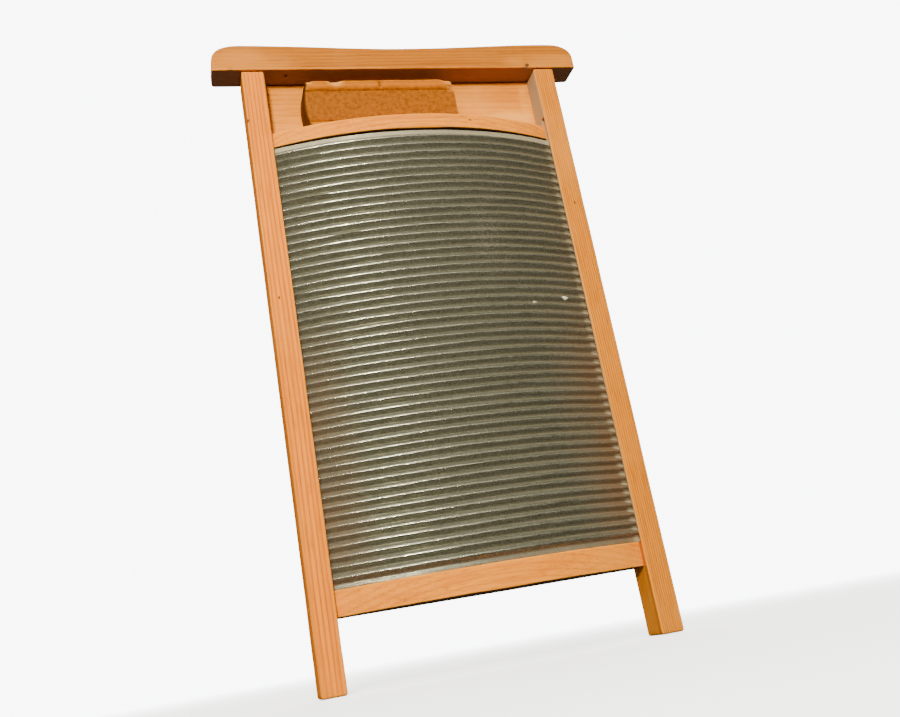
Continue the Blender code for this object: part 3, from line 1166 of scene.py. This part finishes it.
@dataclass
class HandleRail:
    """The handle rail, with a hump over each leg, a dip between and rounded ends.

    The top stands at height - dip (1 + cos(pi x / hump)) / 2 between the humps. Past a hump it
    falls as a quarter superellipse to the short upright of the end. The back corners are
    quarter circles in plan.
    """

    joinery: Joinery
    dip: float = 0.004
    upright: float = 0.004
    end_round: float = 0.030
    power: float = 2.75
    arris: float = 0.0008
    back_corner: float = 0.0034
    front_corner: float = 0.0026
    longer_left: float = 0.0020
    lifted_right: float = 0.0006
    end_arris: Tuple[float, float] = (0.0012, 0.0012)
    nicks: Tuple[Triple, ...] = (
        (0.1320, 0.0016, 0.0022),
        (-0.1680, 0.0009, 0.0026),
        (0.034, 0.0007, 0.0030),
    )
    clearance: float = 0.0003

    def _top(self, x: Array) -> Array:
        """Return the height of the top above the underside at each x.

        Args:
            x: places along the rail.

        Returns:
            One height for each place.
        """
        low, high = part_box("top_rail")
        half, height = high[0], high[2] - low[2]
        hump = half - self.end_round
        middle = height - self.dip * (1 + np.cos(math.pi * np.clip(x / hump, -1, 1))) / 2
        share = np.clip((np.abs(x) - hump) / self.end_round, 0, 1)
        fall = (1 - share ** self.power) ** (1 / self.power)
        return np.where(np.abs(x) <= hump, middle, self.upright + (height - self.upright) * fall)

    @staticmethod
    def _corner(x: Array, half: float, radius: float) -> Array:
        """Return how far a plan corner of the given radius cuts in at each x."""
        share = np.clip((np.abs(x) - (half - radius)) / radius, 0, 1)
        return radius * (1 - np.sqrt(1 - share ** 2))

    def _stations(self, half: float) -> Array:
        """Return the places along the rail, crowded at its rounded ends.

        Args:
            half: half the rail's length.

        Returns:
            The places.
        """
        hump = half - self.end_round
        turn = np.linspace(0, math.pi / 2, 40)[1:]
        ends = hump + self.end_round * np.sin(turn) ** (2 / self.power)
        return np.concatenate([-ends[::-1], np.linspace(-hump, hump, 110), ends])

    def _wear(self, shape: Shape, half: float, front: float, bottom: float) -> None:
        """Make the rail uneven and nicked, paint a highlight on its lower arris, and make its two ends
        unlike.

        Args:
            shape: the rail's surface, which is changed.
            half: half its length.
            front: its front face.
            bottom: its underside.
        """
        under = shape.verts[:, 2] < bottom + FLAT
        shape.verts = wobble(shape.verts, 0.00016, 0.06, 51)
        shape.verts[under, 2] = bottom
        for x, depth, size in self.nicks:
            shape.verts = dent(shape.verts, (x, front, bottom), (0, depth, depth), size)
        x, y, z = shape.verts.T.copy()
        # Painted highlight: a light line along the lower front arris, carried in the arris value.
        line = np.clip((bottom + 0.0026 - z) / 0.0014, 0, 1) * (y < front + 0.0012)
        shape.values["arris"] = np.maximum(shape.values["arris"] * 0.5, line)
        shape.verts[:, 0] = x - self.longer_left * np.clip((-x - 0.15) / 0.03, 0, 1)
        above = np.clip((z - bottom) / 0.02, 0, 1)
        shape.verts[:, 2] += self.lifted_right * above * np.clip((x + half) / (2 * half), 0, 1)

    def build(self) -> None:
        """Build the rail."""
        low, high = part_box("top_rail")
        half, front, bottom = high[0], low[1], low[2]

        def lower(x: Array) -> Pair:
            """Return the front and the underside."""
            return front + self._corner(x, half, self.front_corner), np.full_like(x, bottom)

        def upper(x: Array) -> Pair:
            """Return the back and the top."""
            return high[1] - self._corner(x, half, self.back_corner), bottom + self._top(x)

        bar = Bar(Axis.X, -half, half, lower, upper, self.arris, self.end_arris,
                  flats=(10, 10), stations=self._stations(half))
        shape = bar.shape()
        self._wear(shape, half, front, bottom)
        legs = [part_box(side + "_leg") for side in ("left", "right")]
        deep = bottom + TENON[2] + 2 * self.clearance
        mortises = [tenon_box(leg, self.clearance, bottom - 0.001, deep) for leg in legs]
        tones = (0.47, 0.147, 0.008), (0.30, 0.080, 0.004), (0.54, 0.190, 0.022)
        knots = (
            ((0.1320, front, bottom + 0.003), (0.0030, 0.0020, 0.0022)),
            ((-0.1168, front + 0.010, bottom), (0.0022, 0.0026, 0.0015)),
            ((0.165, front + 0.012, bottom), (0.0020, 0.0020, 0.0015)),
        )
        pale = (
            ((-0.155, front, bottom + 0.008), (0.060, 0.010, 0.016)),
            ((0.150, front, bottom + 0.008), (0.050, 0.010, 0.010)),
        )
        # The high arris weight lightens worn arrises and sets the strength of the painted highlight.
        finish = WoodFinish("rail wood", Axis.X, (0.060, 0.470), *tones, ring_spacing=0.0036,
                            wear_and_highlight_weight=0.8, stains=knots, bleached=pale, seed=1.3)
        # Painted shade on the underside, from just behind the front arris back, where shade falls.
        dark = ((-1.0, front + 0.0014, bottom - 0.01), (1.0, 1.0, bottom + 0.0024))
        self.joinery.make("top_rail", shape, "rail_wood", finish, mortises, painted_shade_boxes=[dark])


@dataclass
class Crosspieces:
    """The soap ledge and the lower crosspiece: flat behind, bowed to a circle in front.

    The front at x lies at the middle's front plus R - sqrt(R^2 - x^2).
    """

    joinery: Joinery
    bow: float = 0.0297
    arris: float = 0.0011
    end_arris: Tuple[float, float] = (0.0006, 0.0006)

    def build(self) -> None:
        """Build both crosspieces."""
        self._build_one("soap_ledge", (-0.05, 0.40), 5.7)
        self._build_one("lower_crosspiece", (0.06, 0.16), 2.2)

    def _build_one(self, node: str, pith: Tuple[float, float], seed: float) -> None:
        """Build one crosspiece.

        Args:
            node: the frame's node.
            pith: the log's centre line.
            seed: the seed of its grain.
        """
        low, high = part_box(node)
        half = high[0]
        radius = (half ** 2 + self.bow ** 2) / (2 * self.bow)

        def lower(x: Array) -> Pair:
            """Return the bowed front and the underside."""
            return low[1] + radius - np.sqrt(radius ** 2 - x ** 2), np.full_like(x, low[2])

        upper = constant(high[1], high[2])
        shape = Bar(Axis.X, -half, half, lower, upper, self.arris, self.end_arris, flats=(12, 7)).shape()
        shape.verts = wobble(shape.verts, 0.00010, 0.05, int(seed * 10))
        tones = (0.93, 0.295, 0.012), (0.62, 0.150, 0.005), (0.93, 0.34, 0.030)
        knots = (((0.0508, -0.0225, 0.5023), (0.0022, 0.0040, 0.0012)),)
        finish = WoodFinish(node + " wood", Axis.X, pith, *tones, ring_spacing=0.0045, ring_weight=0.4,
                            painted_shade=GAP_PAINTED_SHADE, stains=knots, seed=seed)
        # Near-black painted shade on the underside, for the shadow gap below the piece.
        under = ((-1.0, low[1] + 0.0010, low[2] - 0.01), (1.0, 1.0, low[2] + 0.0006))
        self.joinery.make(node, shape, "ledge_wood", finish, painted_shade_boxes=[under])


@dataclass
class Boards:
    """The thin boards across the back, of which the top one backs the soap tray."""

    joinery: Joinery
    arris: float = 0.0007
    end_arris: Tuple[float, float] = (0.0005, 0.0005)
    under_rail: float = 0.00005

    def build(self) -> None:
        """Build the tray back and the boards below it."""
        nodes = ["tray_back"] + sorted(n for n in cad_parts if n.startswith("back_board_"))
        for number, node in enumerate(nodes):
            low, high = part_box(node)
            sides = constant(low[1], low[2]), constant(high[1], high[2])
            bar = Bar(Axis.X, low[0], high[0], *sides, self.arris, self.end_arris,
                      flats=(4, 22), corner_steps=3)
            shape = bar.shape()
            top = shape.verts[:, 2] > high[2] - FLAT
            shape.verts = wobble(shape.verts, 0.00010, 0.09, 90 + number)
            if node == "tray_back":
                shape.verts[top, 2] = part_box("top_rail")[0][2] - self.under_rail
            pith = (0.12 + 0.02 * number, low[2] + 0.03 * number - 0.02)
            tones = (0.84, 0.285, 0.018), (0.62, 0.165, 0.008), (0.90, 0.36, 0.060)
            knots = (((-0.1366, low[1], 0.5612), (0.0011, 0.002, 0.0030)),)
            pale = (
                ((0.1330, low[1], 0.5500), (0.0075, 0.004, 0.0210)),
                ((0.1100, low[1], 0.5300), (0.0300, 0.004, 0.0090)),
            )
            finish = WoodFinish(node + " wood", Axis.X, pith, *tones, ring_spacing=0.004, ring_weight=0.4,
                                fade_weight=0.6, painted_shade=GAP_PAINTED_SHADE, stains=knots, bleached=pale,
                                seed=11.0 + 2.3 * number)
            # Near-black painted shadow along the top edge, in the gap under the rail or the board above.
            edge = ((-1.0, -1.0, high[2] - 0.0009), (1.0, 1.0, high[2] + 0.01))
            self.joinery.make(node, shape, "board_wood", finish, painted_shade_boxes=[edge])


@dataclass
class ZincSheet:
    """The corrugated sheet, bowed to a circle about an upright axis behind it.

    At a height z the radius is the valleys' radius plus rise times a rounded zigzag,
    (1 - arcsin(k cos t) / arcsin(k)) / 2, with t turning once for each pitch. The bands along
    the top and the bottom stay at the valleys' radius. The closed profile runs down the outer
    side and up the inner side, a thickness away along the profile's normal, and is carried
    through the angle of the bow. The lines slope down slightly to the right.
    """

    bow: float = 0.0275
    pitch: float = 0.008375
    count: int = 48
    rise: float = 0.0038
    thickness: float = 0.0005
    roundness: float = 0.955
    slope: float = 0.0036
    row_steps: int = 14
    columns: int = 60
    painted_light_wedge_from: float = 0.1315
    glint_at: Tuple[float, float] = (0.045, 0.380)
    glint_reach: Tuple[float, float] = (0.016, 0.045)
    stained_below: float = 0.33
    flecks: Tuple[Triple, ...] = (
        (0.108, 0.451, 0.0012),
        (0.1075, 0.4432, 0.0012),
        (0.1135, 0.316, 0.0026),
        (0.0795, 0.312, 0.0013),
    )

    def build(self) -> None:
        """Build the sheet."""
        low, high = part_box("zinc_sheet")
        leg_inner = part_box("right_leg")[0][0]
        radius = (leg_inner ** 2 + self.bow ** 2) / (2 * self.bow)
        centre_y = low[1] + radius + self.rise / 2 + self.thickness / 2
        reach = math.asin((high[0] - 0.0008) / radius)
        z, ripple, crest = self._profile(low[2], high[2])
        slope = np.gradient(ripple, z)
        length = np.sqrt(1 + slope ** 2)
        step_r, step_z = 1 / length, -slope / length
        angle = np.linspace(-reach, reach, self.columns)[:, None]
        sides = []
        for sign in (1, -1):
            r = radius + ripple + sign * step_r * self.thickness / 2
            h = z + sign * step_z * self.thickness / 2
            x, y = np.sin(angle) * r, centre_y - np.cos(angle) * r
            sides.append(np.stack([x, y, np.broadcast_to(h, x.shape)], -1))
        rings = np.concatenate([sides[0], sides[1][:, ::-1]], 1)
        rings = self._worn(rings, radius, centre_y, low, high)
        marks = np.concatenate([crest, crest[::-1]])
        shape = self._closed(rings, np.broadcast_to(marks, rings.shape[:2]))
        self._marks(shape, high[2])
        piece = add_piece("fine_zinc_sheet", shape, "zinc_sheet", BOARD_BODY)
        dress(piece, ZincFinish().material(), 60.0)

    def _profile(self, bottom: float, top: float) -> Tuple[Array, Array, Array]:
        """Return heights, ripples from the mean radius and crest values from the top down.

        Args:
            bottom: the sheet's lower edge.
            top: its upper edge.

        Returns:
            The three arrays, of the same length.
        """
        band = (top - bottom - self.count * self.pitch) / 2
        turns = np.linspace(0, self.count, self.count * self.row_steps + 1)
        zigzag = -np.arcsin(self.roundness * np.cos(2 * math.pi * turns)) / math.asin(self.roundness)
        lead = np.linspace(0, 1, 6)[:-1]
        ripples = top - band - turns * self.pitch
        z = np.concatenate([top - band * lead, ripples, bottom + band * lead[::-1]])
        wave = np.concatenate([-np.ones_like(lead), zigzag, -np.ones_like(lead)])
        return z, wave * self.rise / 2, (wave + 1) / 2

    def _worn(self, rings: Array, radius: float, centre_y: float, low: Any, high: Any) -> Array:
        """Return the surface with its small hand-made unevenness: slow waves and knocks.

        Args:
            rings: the surface's points.
            radius: the bow's radius.
            centre_y: where the bow's axis stands.
            low: the sheet's lowest corner.
            high: its highest corner.

        Returns:
            The moved points.
        """
        flat = rings.reshape(-1, 3)
        slow = smooth_noise(flat * np.array([1, 1, 2.5]), 0.10, 7) * 0.00035
        quick = smooth_noise(flat * np.array([1, 1, 2.0]), 0.025, 19) * 0.00012
        edge = np.clip((high[0] - np.abs(flat[:, 0])) / 0.02, 0, 1)
        away = np.stack([flat[:, 0], flat[:, 1] - centre_y], -1) / radius
        flat = flat.copy()
        flat[:, :2] += away * ((slow + quick) * edge)[:, None]
        lift = smooth_noise(flat * np.array([1, 1, 6.0]), 0.09, 33) * 0.0004 - flat[:, 0] * self.slope
        inner = np.clip(np.minimum(high[2] - flat[:, 2], flat[:, 2] - low[2]) / 0.02, 0, 1)
        flat[:, 2] += lift * inner
        return flat.reshape(rings.shape)

    @staticmethod
    def _closed(rings: Array, crest: Array) -> Shape:
        """Join the rings and close each side edge with a strip across the thickness.

        Args:
            rings: the surface's points, each ring along a height.
            crest: their crest values.

        Returns:
            The closed sheet.
        """
        count, around = rings.shape[:2]
        index = np.arange(count * around).reshape(count, around)
        a, b = index[:-1], index[1:]
        quads = np.stack([a, b, np.roll(b, -1, 1), np.roll(a, -1, 1)], -1).reshape(-1, 4)
        half = around // 2
        strips = []
        for ring, flip in ((index[0], True), (index[-1], False)):
            outer, inner = ring[:half], ring[half:][::-1]
            strip = np.stack([outer[:-1], outer[1:], inner[1:], inner[:-1]], -1)
            strips.append(strip if flip else strip[:, ::-1])
        return Shape(rings.reshape(-1, 3), np.vstack([quads] + strips), np.zeros((0, 3), int),
                     {"crest": crest.ravel()})

    def _marks(self, shape: Shape, top: float) -> None:
        """Add where scale, lime and painted light, glints, brown stains and pale flecks lie, each from 0
        to 1.

        Scale fills the valleys, more to the right. Pale painted light lies in them at the right edge,
        and lime on the top band. Glints crowd right of the middle. Stains grow towards the lower corners.

        Args:
            shape: the sheet, whose values are filled.
            top: its upper edge.
        """
        x, z = shape.verts[:, 0], shape.verts[:, 2]
        valley = np.clip(1 - shape.values["crest"] * 2.2, 0, 1)
        rightward = np.clip(0.30 + x / 0.18, 0.05, 1)
        band = np.clip((z - (top - 0.0055)) / 0.001, 0, 1)
        shape.values["scale"] = np.maximum(valley * rightward, band * 0.3)
        # Painted light: pale wedges in the valleys at the right edge, where the key lights them.
        painted_light_wedge = np.clip(((x - self.painted_light_wedge_from) / 0.0060 - shape.values["crest"] * 1.5) * 3, 0, 1)
        shape.values["lime_and_painted_light"] = np.maximum(painted_light_wedge * 0.9, band * 0.5)
        aside = (x - self.glint_at[0]) / self.glint_reach[0]
        up = (z - self.glint_at[1]) / self.glint_reach[1]
        shape.values["glint"] = np.maximum(np.exp(-(aside ** 2) - up ** 2), 0.12)
        corner = np.clip((np.abs(x + 0.01) - 0.085) / 0.05, 0, 1)
        shape.values["stain"] = 0.8 * corner * np.clip((self.stained_below - z) / 0.08, 0.12, 1)
        fleck = np.zeros_like(x)
        for at_x, at_z, size in self.flecks:
            distance = np.hypot(x - at_x, (z - at_z) * 1.2)
            fleck = np.maximum(fleck, np.exp(-((distance / size) ** 2)))
        shape.values["fleck"] = fleck


@dataclass
class SoapBar:
    """A pressed bar of soap, the same in front and behind, with plain beads along its edges.

    It is a bar whose front and back are pushed in by the hollow's depth between the beads. A
    bead's section is a raised half sine. It is parted in the middle of its length, where both
    halves end in a quarter ellipse. Each end face swells as 1 - u^2, with u from -1 to 1 up it.
    """

    left_bulge: float = 0.006
    right_bulge: float = 0.0015
    edge: float = 0.0022
    bead_width: float = 0.0100
    bead_margin: float = 0.0020
    bead_height: float = 0.0020
    hollow: float = 0.0026
    groove: float = 0.0012
    step: float = 0.0009

    def build(self) -> None:
        """Build the soap."""
        low, high = (np.array(corner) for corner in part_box("soap_bar"))
        low[0] += self.left_bulge
        high[0] -= self.right_bulge
        sides = constant(low[1], low[2]), constant(high[1], high[2])
        rounds = (self.edge, self.edge)
        bar = Bar(Axis.X, low[0], high[0], *sides, self.edge, rounds, self.step,
                  flats=(18, 64), corner_steps=5)
        shape = bar.shape()
        # Marks the left end face for painted shade.
        shape.values["end"] = np.clip((low[0] + 0.0022 - shape.verts[:, 0]) / 0.0010, 0, 1)
        shape.values["hollow"], shape.values["bead"] = self._press(shape.verts, low, high)
        shape.verts = wobble(shape.verts, 0.00022, 0.022, 5)
        shape.values["chip"] = self._chips(shape, low, high)
        piece = add_piece("fine_soap_bar", shape, "soap_bar", SOAP_BODY)
        dress(piece, SoapFinish().material(), 60.0)

    def _press(self, verts: Array, low: Array, high: Array) -> Pair:
        """Press the pattern into both faces and the ridge out of both ends.

        Args:
            verts: the surface's points, which are moved.
            low: the lower corner of the bar's box.
            high: its upper corner.

        Returns:
            How far each point lies in the hollow and on a bead, from 0 to 1.
        """
        x, y, z = verts.T
        centre, half = (low + high) / 2, (high - low) / 2
        side = np.clip((y - centre[1]) / (half[1] - self.edge), -1, 1)
        facing = np.clip((np.abs(side) - 0.9) / 0.1, 0, 1)
        from_edge = half[2] - np.abs(z - centre[2])
        from_end = half[0] - np.abs(x - centre[0])
        across = np.clip(from_edge / self.bead_width, 0, 1)
        middle = np.abs(x - centre[0])
        outer = np.clip((from_end - self.bead_margin) / 0.004, 0, 1)
        ends = np.clip((middle - 0.0008) / 0.004, 0, 1) * outer
        bead = np.sin(math.pi * across ** 0.85) * np.sqrt(1 - (1 - ends) ** 2)
        flat = np.clip((from_edge - self.bead_width + 0.001) / 0.003, 0, 1)
        line = np.exp(-(((from_edge - self.bead_width) / 0.0008) ** 2))
        push = self.hollow * np.clip(from_edge / 0.004, 0, 1) + self.groove * line
        push = push * np.clip(from_end / 0.001, 0, 1) - self.bead_height * bead
        verts[:, 1] -= np.sign(side) * push * facing
        bulge = np.where(x < centre[0], -self.left_bulge, self.right_bulge)
        swell = np.clip(1 - ((z - centre[2]) / half[2]) ** 2, 0, 1)
        verts[:, 0] += bulge * swell * np.clip(1 - from_end / 0.012, 0, 1) ** 2
        return flat * facing, bead * facing

    @staticmethod
    def _chips(shape: Shape, low: Array, high: Array) -> Array:
        """Dent the edges at a few worn places and return how chipped each vertex is.

        Args:
            shape: the bar, which is dented.
            low: the bar's lowest corner.
            high: its highest corner.

        Returns:
            One value for each vertex.
        """
        spots = (
            (low[0] + 0.030, high[2] - 0.001, 0.0048),
            (low[0] + 0.025, high[2] - 0.001, 0.0034),
            (low[0] + 0.003, high[2] - 0.001, 0.0024),
            (high[0] - 0.002, high[2] - 0.001, 0.0044),
            (high[0] - 0.007, high[2] + 0.0005, 0.0034),
            (high[0] - 0.002, high[2] - 0.010, 0.0028),
            (low[0] + 0.032, low[2] + 0.007, 0.0022),
        )
        chip = np.zeros(len(shape.verts))
        for x, z, size in spots:
            place = np.array([x, low[1] + 0.001, z])
            distance = np.linalg.norm((shape.verts - place) * np.array([0.6, 1, 1]), axis=1)
            chip = np.maximum(chip, np.exp(-((distance / size) ** 2)))
            shape.verts = dent(shape.verts, place, (0, 0.0012, -0.0008), size)
        return np.clip(chip * 1.6 - 0.35, 0, 1)


# ---------------------------------------------------------------- studio


@dataclass
class Studio:
    """The pale floor, the soft lights and the camera."""

    floor_radius: float = 12.0
    lens_mm: float = 38.0
    sensor_mm: float = 36.0
    from_left: float = -0.2437
    in_front: float = 0.7920
    below_rail: float = 0.5481
    yaw_degrees: float = 16.66
    pitch_degrees: float = 16.34
    roll_degrees: float = -10.32
    warm: Colour = (1.0, 0.95, 0.80)
    soft: Colour = (1.0, 0.97, 0.86)
    below: Colour = (0.04, 0.037, 0.028)
    above: Colour = (0.50, 0.48, 0.42)
    backdrop: Colour = (8.6, 8.7, 8.8)

    def build(self) -> None:
        """Build the studio."""
        self._floor()
        self._world()
        self._light("key", (-0.68, -2.05, 0.90), (0, 0, 0.35), 0.3, 86.0, self.warm)
        self._light("sky", (-0.45, -1.35, 1.90), (0, 0, 0.35), 0.35, 15.0, self.soft)
        self._light("top", (0.0, -0.6, 2.6), (0, -0.1, 0), 1.6, 30.0, self.soft)
        self._light("back", (0.7, 2.0, 1.5), (0, 0, 0.3), 1.4, 80.0, self.soft)
        self._camera()

    def _floor(self) -> None:
        """Lay a round floor whose mesh is a fan of rings: radius grows with the square."""
        angle = np.linspace(0, 2 * math.pi, 64, endpoint=False)
        radius = self.floor_radius * np.linspace(0.02, 1, 12)[::-1] ** 2
        flat = np.stack([radius[:, None] * np.cos(angle), radius[:, None] * np.sin(angle)], -1)
        rings = np.concatenate([flat, np.full(flat.shape[:2] + (1,), -0.0002)], -1)
        under = rings[:1] - np.array([0, 0, 0.02])
        shape = tube_of_rings(np.concatenate([under, rings]), {})
        floor = add_object("floor", shape.mesh("floor"))
        floor.data.materials.append(FloorFinish().material())

    def _world(self) -> None:
        """Show pale surroundings, which light the board softly and mostly from above."""
        world = bpy.data.worlds.new("pale surroundings")
        world.use_nodes = True
        graph = Graph.of_world(world)
        seen = graph.node("ShaderNodeLightPath", {}, {}, "Is Camera Ray")
        x, y, z = graph.split(graph.node("ShaderNodeTexCoord", {}, {}, "Generated"))
        towards = z * 0.8 - x * 0.45 - y * 0.25
        sky = graph.mix(towards.ease(-0.7, 1.0), self.below, self.above)
        graph.set(Color=graph.mix(seen, sky, self.backdrop), Strength=1.0)
        bpy.context.scene.world = world

    @staticmethod
    def _light(name: str, place: Triple, aim: Triple, size: float, watts: float, colour: Colour) -> None:
        """Add one soft square light aimed at a point.

        Args:
            name: its name.
            place: where it hangs.
            aim: the point it faces.
            size: its side.
            watts: its power.
            colour: its colour.
        """
        lamp = bpy.data.lights.new(name, "AREA")
        lamp.size = size
        lamp.energy = watts
        lamp.color = colour
        obj = add_object(name, lamp)
        obj.location = place
        obj.rotation_euler = (Vector(aim) - Vector(place)).to_track_quat("-Z", "Y").to_euler()

    def _camera(self) -> None:
        """Place the camera low in front and to the left, looking up at the board."""
        leg_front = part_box("left_leg")[0][1]
        rail_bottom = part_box("top_rail")[0][2]
        degrees = (self.yaw_degrees, self.pitch_degrees, self.roll_degrees)
        yaw, pitch, roll = (math.radians(value) for value in degrees)
        flat = math.cos(pitch)
        forward = Vector((math.sin(yaw) * flat, math.cos(yaw) * flat, math.sin(pitch)))
        level = forward.cross(Vector((0, 0, 1))).normalized()
        above = level.cross(forward)
        right = level * math.cos(roll) + above * math.sin(roll)
        up = above * math.cos(roll) - level * math.sin(roll)
        data = bpy.data.cameras.new("camera")
        data.lens = self.lens_mm
        data.sensor_width = self.sensor_mm
        data.clip_start = 0.01
        camera = add_object("camera", data)
        turn = Matrix((right, up, -forward)).transposed().to_4x4()
        place = Vector((self.from_left, leg_front - self.in_front, rail_bottom - self.below_rail))
        camera.matrix_world = Matrix.Translation(place) @ turn
        bpy.context.scene.camera = camera


def build_nails(nails: Nails) -> None:
    """Build every nail and tack.

    Args:
        nails: the nails' sizes and places.
    """
    material = NailFinish().material()
    for node, (head, direction, length) in nails.places().items():
        shape = nails.body(head, direction, length)
        piece = add_piece("fine_" + node, shape, node, BOARD_BODY)
        dress(piece, material)


def main() -> None:
    """Build the washboard's looks."""
    logging.basicConfig(level=logging.INFO, format="%(message)s")
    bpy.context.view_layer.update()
    nails = Nails()
    joinery = Joinery(nails)
    Studio().build()
    HandleRail(joinery).build()
    Legs(joinery).build()
    Crosspieces(joinery).build()
    Boards(joinery).build()
    ZincSheet().build()
    SoapBar().build()
    build_nails(nails)
    bpy.context.view_layer.update()


if __name__ == "__main__":
    main()
